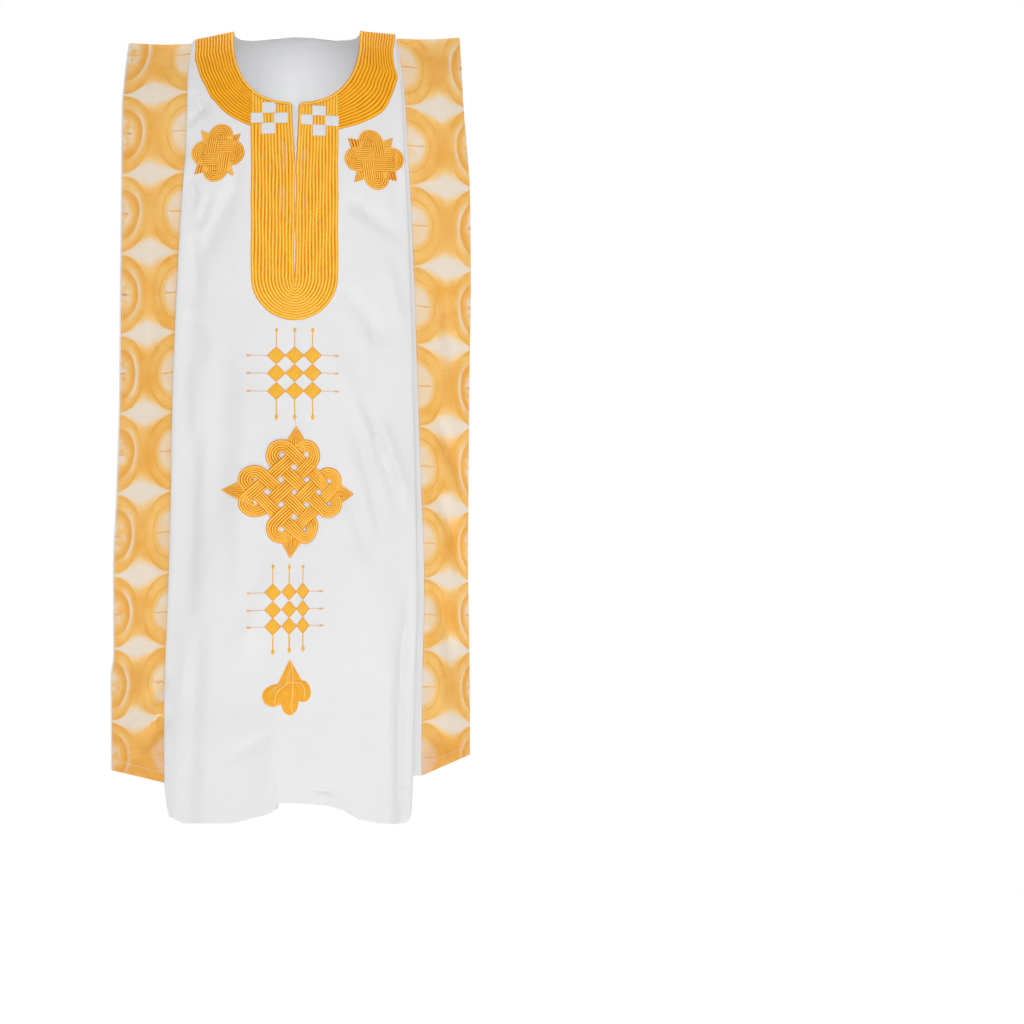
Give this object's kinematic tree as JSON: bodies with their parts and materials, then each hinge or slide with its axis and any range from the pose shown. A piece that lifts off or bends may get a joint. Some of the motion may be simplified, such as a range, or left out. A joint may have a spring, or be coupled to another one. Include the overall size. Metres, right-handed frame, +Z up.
{
  "type": "grand boubou robe",
  "caption": "Long open-sided white robe in its worn shape, with folded wings, tie-dyed edge strips and gold corded embroidery round the neck and down the front.",
  "frame": {"origin": "middle of the neck opening at the height of the shoulder line, where the wearer carries the robe", "axes": "+X to the wearer's left, +Y to the back, +Z up"},
  "size_m": [0.549, 0.2958, 1.2089],
  "materials": {
    "white_cotton": "soft matt woven cloth",
    "tie_dyed_cotton": "matt woven cloth, tie-dyed amber on ivory",
    "gold_couched_cord": "couched cord with a silky sheen",
    "gold_satin_stitch": "satin stitch with a silky sheen"
  },
  "bodies": {
    "root": {"front_panel": "white_cotton", "back_panel": "white_cotton", "strip_front_right": "tie_dyed_cotton", "strip_front_left": "tie_dyed_cotton", "strip_back_right": "tie_dyed_cotton", "strip_back_left": "tie_dyed_cotton", "yoke_front_right": "gold_couched_cord", "yoke_front_left": "gold_couched_cord", "yoke_back": "gold_couched_cord", "placket": "gold_couched_cord", "chest_motif_right": "gold_couched_cord", "chest_motif_left": "gold_couched_cord", "knot": "gold_couched_cord", "lattice_upper": "gold_satin_stitch", "lattice_lower": "gold_satin_stitch", "leaf": "gold_satin_stitch"}
  },
  "joints": []
}
